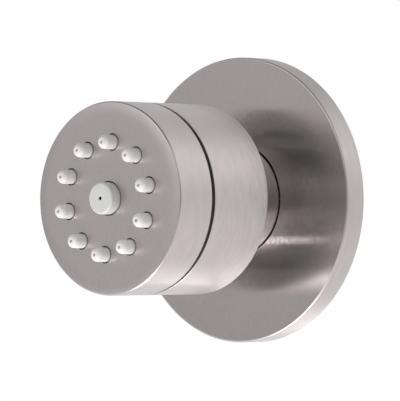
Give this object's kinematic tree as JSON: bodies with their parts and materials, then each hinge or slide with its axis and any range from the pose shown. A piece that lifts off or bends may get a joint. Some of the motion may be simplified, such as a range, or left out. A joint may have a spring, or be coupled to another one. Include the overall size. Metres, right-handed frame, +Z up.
{
  "type": "shower body jet",
  "caption": "Adjustable wall-mounted shower body jet: round rosette, short neck and a cylindrical spray head on a ball joint, with soft ring nozzles and a blunt centre jet.",
  "frame": {"origin": "on the jet's axis at the wall's face, which is the rosette's back plane", "axes": "+Z up, -Y out of the wall along the jet, +X to the right of someone who faces the wall"},
  "size_m": [0.076, 0.076, 0.076],
  "materials": {
    "satin_steel": "satin brushed stainless steel",
    "ball_steel": "polished stainless steel",
    "brass": "bare turned brass",
    "black_acetal": "black moulded engineering plastic",
    "black_rubber": "matt black sealing rubber",
    "white_silicone": "soft white silicone",
    "grey_jet": "pale grey moulded plastic",
    "white_acetal": "natural white moulded plastic"
  },
  "bodies": {
    "wall_fitting": {"inlet_stem": "brass", "inlet_o_ring": "black_rubber", "inlet_strainer": "white_acetal", "flow_limiter": "white_acetal", "limiter_o_ring": "black_rubber", "neck_sleeve": "satin_steel", "ball_stem": "ball_steel", "stem_o_ring": "black_rubber"},
    "rosette_plate": {"rosette": "satin_steel", "rosette_gasket": "black_rubber", "rosette_o_ring": "black_rubber"},
    "ball_liner": {"slide_ring": "white_acetal"},
    "ball_seat": {"ball_cup": "white_acetal"},
    "spray_head": {"retainer_nut": "ball_steel", "disc_spring": "ball_steel", "socket_body": "black_acetal", "spray_plate_o_ring": "black_rubber", "rear_shell": "satin_steel", "joint_ring": "black_rubber", "front_cap": "satin_steel", "spray_plate": "white_acetal", "nozzle_mat": "white_silicone", "centre_jet": "grey_jet"}
  },
  "joints": [
    {"name": "rosette_slide", "type": "slide", "parent": "wall_fitting", "child": "rosette_plate", "axis": [0, -1, 0], "range_m": [0, 0.007]},
    {"name": "head_pan", "type": "hinge", "parent": "wall_fitting", "child": "ball_liner", "pos_m": [0, -0.03, 0], "axis": [0, 0, 1], "range_deg": [-15, 15]},
    {"name": "head_tilt", "type": "hinge", "parent": "ball_liner", "child": "ball_seat", "pos_m": [0, -0.03, 0], "axis": [1, 0, 0], "range_deg": [-15, 15]},
    {"name": "head_spin", "type": "hinge", "parent": "ball_seat", "child": "spray_head", "pos_m": [0, -0.03, 0], "axis": [0, -1, 0], "continuous": true}
  ]
}
